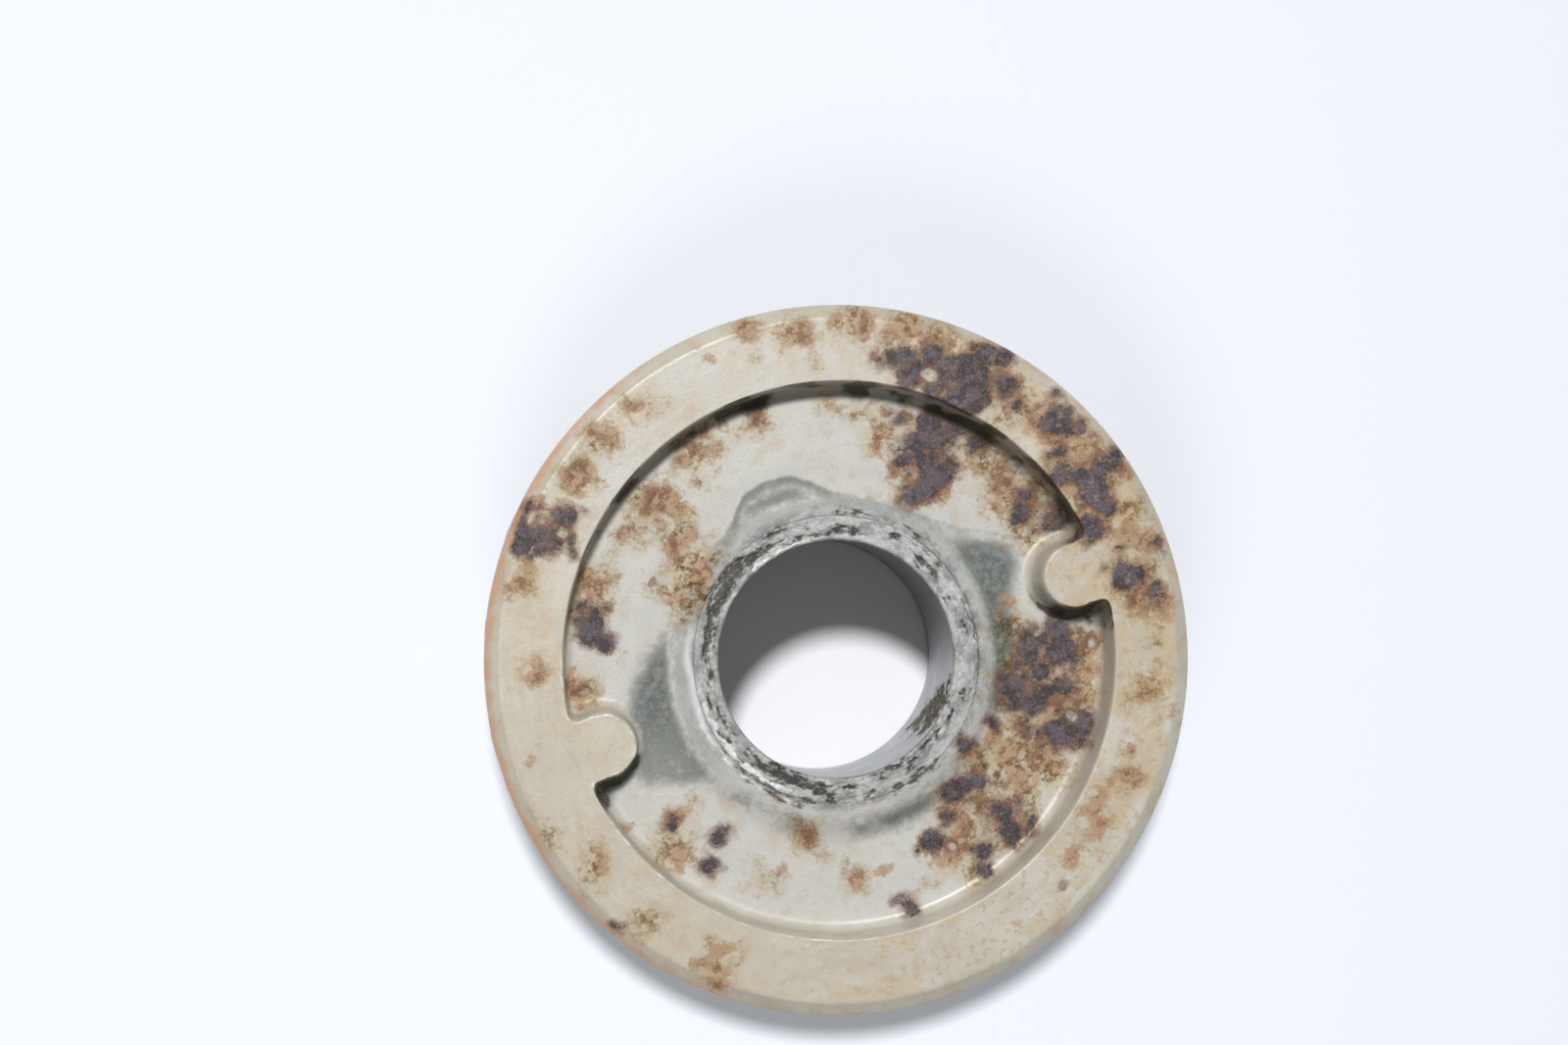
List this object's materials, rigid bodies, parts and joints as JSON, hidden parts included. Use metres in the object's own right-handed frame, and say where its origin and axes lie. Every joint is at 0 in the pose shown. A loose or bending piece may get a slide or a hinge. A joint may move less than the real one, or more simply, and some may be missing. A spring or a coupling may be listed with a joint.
{
  "type": "propeller thrust hub",
  "caption": "Round cast thrust hub with a recessed face, opposed drive lugs, a low collar in the recess and a plain sleeve pressed into its bore.",
  "frame": {"origin": "centre of the rear end face, on the bore axis, which is the bottom centre of the bounding box", "axes": "+Z along the bore axis, out of the recessed face; the drive lugs lie on the X axis"},
  "size_m": [0.078, 0.078, 0.022],
  "materials": {
    "casting": "cast stainless metal gone beige-grey, semi-gloss, with rust stains, purple-brown rust scabs and pits",
    "sleeve": "bare grey metal, galled and pitted on the end face, smoother in the bore"
  },
  "bodies": {
    "root": {"flange_casting": "casting", "bore_sleeve": "sleeve"}
  },
  "joints": []
}
